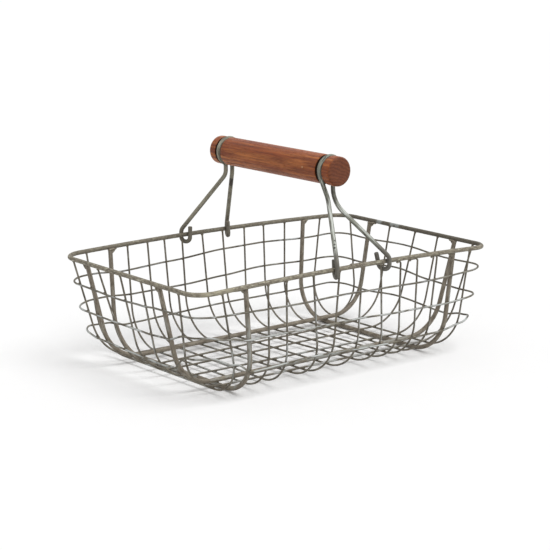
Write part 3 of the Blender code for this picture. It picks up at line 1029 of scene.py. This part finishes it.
def leg_path(name, leg, neck_end, side):
    """One leg, from below the neck to the tip of its hook's tail."""
    hand = 2 * leg - 1
    foot = HOOK_PLACES[name][leg] * HALF_LENGTH
    half_turn = HOOK_WIDTH / 2
    step_x = hand * half_turn * math.sin(HOOK_TURN)
    step_y = side * half_turn * math.cos(HOOK_TURN)
    outer = Vector((foot + step_x, side * HALF_WIDTH + step_y, 0))
    inner = Vector((foot - step_x, side * HALF_WIDTH - step_y, 0))
    floor = UP * (rim_lift(foot) - HOOK_DROP)
    lean = Vector((TAIL_LEANS[name][leg] * HOOK_WIDTH, 0, 0))
    neck = -UP
    if name == "near_bail" and leg == 0:
        neck = Vector((math.cos(SLANT_FROM), 0, -math.sin(SLANT_FROM)))
    corners = [
        neck_end,
        neck_end + neck * NECK_LENGTHS[name][leg],
        outer + UP * (rim_lift(foot) + KNEE_ABOVE_RIM),
        outer + floor,
        inner + floor,
        inner + lean + UP * (rim_lift(foot) + HOOK_TAIL_RISE),
    ]
    hook_bend = half_turn - WELD_GAP
    return round_corners(corners, (SHOULDERS[name][leg], KNEE_BEND, hook_bend, hook_bend))


def bail_finish(title, stain, rubbed, shadow, **values):
    """Bail steel: painted highlight where hands rub, painted shade, and hooks stained by the rim.
    """
    material = steel_finish(title, bump_depth=0.00008, **values)
    spot = surface_place(material)
    height = part(spot, 2)
    ragged = times(cloud(spot, 160.0), 0.016, height)
    streaks = calc("SUBTRACT", cloud(along_wire(material, 0.06), 700.0), 0.5)
    turned = times(streaks, 2.2, facing(material, RUBBED_AND_LIT_SIDE))
    leg = calc("SUBTRACT", above(ragged, 0.143, 0.006), above(ragged, 0.196, 0.006))
    # Painted highlight, with rubbing, on the legs' side turned outward, up and to the left
    tint(material, times(above(turned, 0.85, 0.25), leg), rubbed, 0.80)
    # Painted shade on the side turned away from it
    tint(material, above(times(turned, -1.0), -0.10, 0.40), shadow, 0.75)
    tint(material, below(ragged, 0.145, 0.007), stain, 0.85)
    # Painted shade on the loops' side that faces the groove wall
    groove_wall_shade = above(facing(material, (0.0, 1.0, 0.0)), 0.62, 0.20)
    groove_wall_shade = times(groove_wall_shade, above(height, 0.200, 0.003))
    tint(material, groove_wall_shade, tone(36, 31, 26), 0.85)
    return material


# The side of the legs that hands and cloths rub, outward, up and to the left; it
# gets a painted highlight, and the side turned away gets painted shade
RUBBED_AND_LIT_SIDE = (-0.40, -0.55, 0.73)
bail_steels = {
    "near_bail": bail_finish(
        "bright_bail_steel",
        stain=tone(98, 93, 86),
        rubbed=tone(214, 218, 212),
        shadow=tone(96, 95, 88),
        grain=6.0,
        gloss=0.5,
        base=tone(130, 131, 118),
        pale=tone(150, 152, 139),
        dark=tone(80, 79, 71),
        bare=tone(188, 191, 186),
        patch_size=0.0022,
        pale_above=0.52,
        dark_above=0.58,
        bare_above=0.62,
    ),
    "far_bail": bail_finish(
        "brown_bail_steel",
        stain=tone(110, 104, 93),
        rubbed=tone(152, 148, 132),
        shadow=tone(96, 92, 80),
        grain=6.0,
        gloss=0.4,
        base=tone(144, 139, 122),
        pale=tone(160, 156, 138),
        dark=tone(116, 111, 97),
        bare=tone(180, 180, 165),
        patch_size=0.0024,
        dark_above=0.57,
    ),
}

# Where the bails are scorched, shaded and pitted: node, places, reach, colour, share
BAIL_MARKS = (
    ("far_bail", ((0.0046, 0.0920, 0.1822), (0.0052, 0.0935, 0.1796), (0.0058, 0.0950, 0.1770)),
     0.0030, tone(58, 52, 48), 0.85),
    # Painted shade of the grip on the near bail's right neck
    ("near_bail", ((0.0025, -0.088, 0.1985), (0.0025, -0.088, 0.1925), (0.0035, -0.088, 0.1865)),
     0.0048, tone(76, 73, 62), 0.6),
    ("near_bail",
     ((-0.0188, -0.1162, 0.1479), (-0.0206, -0.1185, 0.1445), (-0.0221, -0.1205, 0.1418)),
     0.0012, tone(30, 27, 24), 0.9),
)
for node, places, reach, colour, share in BAIL_MARKS:
    tint(bail_steels[node], round_places(bail_steels[node], places, reach), colour, share)
for number, (node, side) in enumerate((("near_bail", -1), ("far_bail", 1)), 50):
    loop = loop_path(side)
    left_leg = leg_path(node, 0, loop[0], side)
    right_leg = leg_path(node, 1, loop[-1], side)
    path = left_leg[:0:-1] + loop + right_leg[1:]
    bail = bend_wire(
        node.replace("_", "_wire_"), path, BAIL_WIRE, bail_steels[node], number,
        sides=20, step=0.0015, dent_depth=0.00010, dent_length=0.008,
    )
    finish_piece(bail, node, "bare_steel", node)


# Grip
# A bar turned from reddish hardwood with its grain along it. The ends are
# rounded over, a groove near each end takes a bail's loop, and the grooves
# are darkened nearly to black. Oiled, half matt, a little knocked.

GRIP_END_ROUND = 0.0030
GROOVE_WIDTH = 0.0092
GROOVE_OPEN = {-1: (0.0, 0.0014), 1: (0.0006, 0.0)}
GROOVE_EDGE_ROUND = 0.0004
GRIP_SIDES = 96
SWELL_DEPTH = 0.00018
KNOCK_DEPTH = 0.0007
GRIP_CENTRE = Vector((GRIP_OFFSET, 0, GRIP_AXIS_HEIGHT))


def arc(radius, place, size, start, end, steps):
    """Profile points round a quarter turn: (radius, place) pairs."""
    for step in range(steps + 1):
        angle = math.radians(start + (end - start) * step / steps)
        yield radius + size * math.sin(angle), place + size * math.cos(angle)


def grip_half(side):
    """Radius and place along the axis, from one end of the bar to its middle."""
    half = GRIP_LENGTH / 2
    floor = GRIP_RADIUS - GROOVE_DEPTH
    small = GROOVE_EDGE_ROUND
    outline = [(0.0015, -half), (0.006, -half), (GRIP_RADIUS - GRIP_END_ROUND - 0.0008, -half)]
    outline += arc(GRIP_RADIUS - GRIP_END_ROUND, GRIP_END_ROUND - half, GRIP_END_ROUND, 180, 90, 8)
    outer = -LOOP_PLACE - GROOVE_WIDTH / 2 - GROOVE_OPEN[side][0]
    inner = -LOOP_PLACE + GROOVE_WIDTH / 2 + GROOVE_OPEN[side][1]
    for step in range(1, 5):
        outline.append((GRIP_RADIUS, -half + GRIP_END_ROUND + 0.0018 * step))
    outline += arc(GRIP_RADIUS - small, outer - small, small, 90, 0, 4)
    outline += arc(floor + small * 2, outer + small * 2, small * 2, 180, 270, 4)
    outline += [(floor, -LOOP_PLACE)]
    outline += arc(floor + small * 2, inner - small * 2, small * 2, 270, 360, 4)
    outline += arc(GRIP_RADIUS - small, inner + small, small, 180, 90, 4)
    inner += small
    outline += [(GRIP_RADIUS, inner - inner * step / 36) for step in range(1, 37)]
    return outline


def worn(radius, angle, place):
    """The bar's radius after wear: slightly out of round, with shallow knocks."""
    if radius < GRIP_RADIUS - 0.0001:
        return radius
    spot = Vector((math.cos(angle) * 1.6, place * 22, math.sin(angle) * 1.6))
    swell = noise.noise(spot) * 0.5 + 0.5
    knock = max(0.0, noise.noise(spot * 4.3 + Vector((5, 1, 9))) - 0.35)
    return radius - SWELL_DEPTH * swell - KNOCK_DEPTH * knock


def grip_mesh():
    bm = bmesh.new()
    rings = []
    far_half = [(radius, -place) for radius, place in grip_half(1)[-2::-1]]
    for radius, place in grip_half(-1) + far_half:
        ring = []
        for side in range(GRIP_SIDES):
            angle = 2 * math.pi * side / GRIP_SIDES
            size = worn(radius, angle, place)
            spot = Vector((size * math.cos(angle), place, size * math.sin(angle)))
            ring.append(bm.verts.new(GRIP_CENTRE + spot))
        rings.append(ring)
    for first, second in zip(rings, rings[1:]):
        for side in range(GRIP_SIDES):
            other = (side + 1) % GRIP_SIDES
            bm.faces.new((first[side], second[side], second[other], first[other]))
    for ring, place in ((rings[0], -1), (rings[-1], 1)):
        pole = bm.verts.new(GRIP_CENTRE + Vector((0, place * GRIP_LENGTH / 2, 0)))
        for side in range(GRIP_SIDES):
            bm.faces.new((ring[side], ring[(side + 1) % GRIP_SIDES], pole))
    bmesh.ops.recalc_face_normals(bm, faces=bm.faces)
    mesh = bpy.data.meshes.new("grip_bar")
    bm.to_mesh(mesh)
    bm.free()
    mesh.shade_smooth()
    return mesh


def wood_group():
    """Turned hardwood: growth rings cut along and across, streaks and pores."""
    number, colour = "NodeSocketFloat", "NodeSocketColor"
    tree, given, made = new_group(
        "ShaderNodeTree",
        "turned hardwood",
        (
            ("Place", "NodeSocketVector", None),
            ("Body", colour, tone(154, 80, 40)),
            ("Streak", colour, tone(114, 54, 27)),
            ("Glow", colour, tone(182, 108, 56)),
            ("Ring width", number, 0.0034),
            ("Streak width", number, 0.0024),
        ),
        (("Color", colour), ("Roughness", number), ("Height", number), ("Rings", number)),
    )
    place = given["Place"]
    lengthwise = stretched(place, (1.0, 0.045, 1.0))
    often = calc("DIVIDE", 1.0, given["Streak width"])
    broad = cloud(lengthwise, times(often, 0.40))
    streaks = cloud(shifted(lengthwise, (0.7, 0.1, 0.3)), often, 4.0, 0.6)
    hairs = cloud(lengthwise, times(often, 6.0), 2.0)
    from_pith = shifted(stretched(place, (1.0, 0.0, 1.0)), (0.011, 0.0, 0.034))
    from_pith = vector_calc("LENGTH", from_pith)["Value"]
    bent = times(cloud(lengthwise, 60.0, 2.0), 0.010, from_pith)
    turns = calc("DIVIDE", bent, given["Ring width"])
    wave = calc("SINE", times(turns, 6.2832))
    rings = times(wave, 0.5, 0.5)
    pore = above(cloud(stretched(place, (1.0, 0.06, 1.0)), 2400.0, 1.0), 0.62, 0.04)
    body = blended(above(broad, 0.52, 0.10), given["Body"], given["Glow"])
    dark = times(above(streaks, 0.52, 0.09), 0.80)
    body = blended(dark, body, given["Streak"])
    body = scaled(body, times(rings, 0.16, 0.92))
    body = scaled(body, times(hairs, 0.50, 0.75))
    feed(made["Color"], scaled(body, times(pore, -0.30, 1.0)))
    feed(made["Rings"], rings)
    rough = times(hairs, 0.25, 0.30)
    feed(made["Roughness"], times(pore, 0.2, rough))
    height = times(hairs, 0.6, streaks)
    feed(made["Height"], times(pore, -0.6, height))
    return tree


def grip_wood():
    """The bar's wood, with sawn ends, and darker in and beside its grooves."""
    material, shader = new_material("oiled_reddish_wood", 0.22)
    tree = material.node_tree
    inputs = {"Vector": surface_place(material), "Location": -GRIP_CENTRE}
    centred = add_node(tree, "ShaderNodeMapping", inputs).outputs[0]
    surface = add_node(tree, "ShaderNodeGroup", {"Place": centred}, node_tree=wood_group()).outputs
    along = calc("ABSOLUTE", part(centred, 1))
    height = part(centred, 2)
    radius = vector_calc("LENGTH", stretched(centred, (1.0, 0.0, 1.0)))["Value"]
    end = above(along, GRIP_LENGTH / 2 - 0.0014, 0.0010)
    # The grooves are darkened nearly to black, and the wood round them a little
    sunk = below(radius, GRIP_RADIUS - 0.0006, 0.0004)
    groove_darkening = times(sunk, below(along, GRIP_LENGTH / 2 - 0.0050, 0.0010))
    from_groove = calc("ABSOLUTE", calc("SUBTRACT", along, LOOP_PLACE))
    halo = below(from_groove, GROOVE_WIDTH / 2 + 0.0006, 0.0010)
    band = calc("SUBTRACT", above(height, 0.0005, 0.0030), above(height, 0.0105, 0.0030))
    streaked = cloud(stretched(centred, (1.0, 0.05, 1.0)), 420.0)
    band = times(band, above(streaked, 0.50, 0.12))
    cut = blended(surface["Rings"], tone(96, 52, 35), tone(116, 67, 45))
    cut = scaled(cut, times(cloud(centred, 900.0, 2.0), 0.7, 0.65))
    feed(shader["Base Color"], surface["Color"])
    tint(material, band, tone(112, 50, 26), 0.45)
    tint(material, end, cut, 0.85)
    tint(material, halo, tone(60, 34, 26), 0.45)
    tint(material, groove_darkening, tone(26, 19, 16), 0.92)
    roughen(shader, surface, 0.00018)
    return material


wood = grip_wood()
PALE_SPECK = ((-0.0177, -0.0614, 0.2184),)
tint(wood, round_places(wood, PALE_SPECK, 0.0010), tone(216, 172, 132), 0.7)
grip_bar = placed("grip_bar", grip_mesh())
grip_bar.data.materials.append(wood)
finish_piece(grip_bar, "grip", "reddish_wood", "grip")


# Studio
# A plain white floor that runs far past the frame, a white surround, and soft
# even light from above and from the camera's side.

FLOOR_REACH = 30.0
FLOOR_GAP = 0.0005
SURROUND_LIGHT = 0.62
SUN_LIGHT = 1.55


def plain_white():
    """White where it is seen, and greyer for the light it throws back up."""
    material, shader = new_material("studio_floor", 0.0)
    thrown = add_node(material.node_tree, "ShaderNodeLightPath").outputs["Is Diffuse Ray"]
    feed(shader["Base Color"], blended(thrown, (0.98, 0.98, 0.98, 1.0), (0.66, 0.66, 0.66, 1.0)))
    feed(shader["Roughness"], 0.9)
    return material


ground = bpy.data.meshes.new("studio_floor")
corners = [(sx * FLOOR_REACH, sy * FLOOR_REACH, 0) for sx, sy in CORNER_SIGNS]
ground.from_pydata(corners, [], [(0, 1, 2, 3)])
ground.materials.append(plain_white())
floor = placed("studio_floor", ground)
floor.location.z = -FLOOR_GAP

world = bpy.data.worlds.new("studio_surround")
world.use_nodes = True
bpy.context.scene.world = world
world.node_tree.nodes.clear()
ray = add_node(world.node_tree, "ShaderNodeLightPath").outputs
seen = calc("MAXIMUM", ray["Is Camera Ray"], ray["Is Glossy Ray"])
seen = calc("MAXIMUM", seen, ray["Is Transmission Ray"])
strength = times(seen, 1.0 - SURROUND_LIGHT, SURROUND_LIGHT)
inputs = {"Color": (1, 1, 1, 1), "Strength": strength}
glow = add_node(world.node_tree, "ShaderNodeBackground", inputs)
add_node(world.node_tree, "ShaderNodeOutputWorld", {"Surface": glow.outputs[0]})

sun = bpy.data.lights.new("key_light", "SUN")
sun.energy = SUN_LIGHT
sun.angle = math.radians(35)
key = placed("key_light", sun)
key.rotation_euler = Vector((-0.25, 0.55, -1.0)).to_track_quat("-Z", "Y").to_euler()

lens = bpy.data.cameras.new("camera")
lens.lens = 108.77
lens.sensor_width = 36.0
camera = placed("camera", lens)
camera.location = (-1.10913, -1.39966, 0.48703)
camera.rotation_euler = Vector((0.60438, 0.76641, -0.21746)).to_track_quat("-Z", "Y").to_euler()
bpy.context.scene.camera = camera
bpy.context.scene.view_settings.view_transform = "Standard"
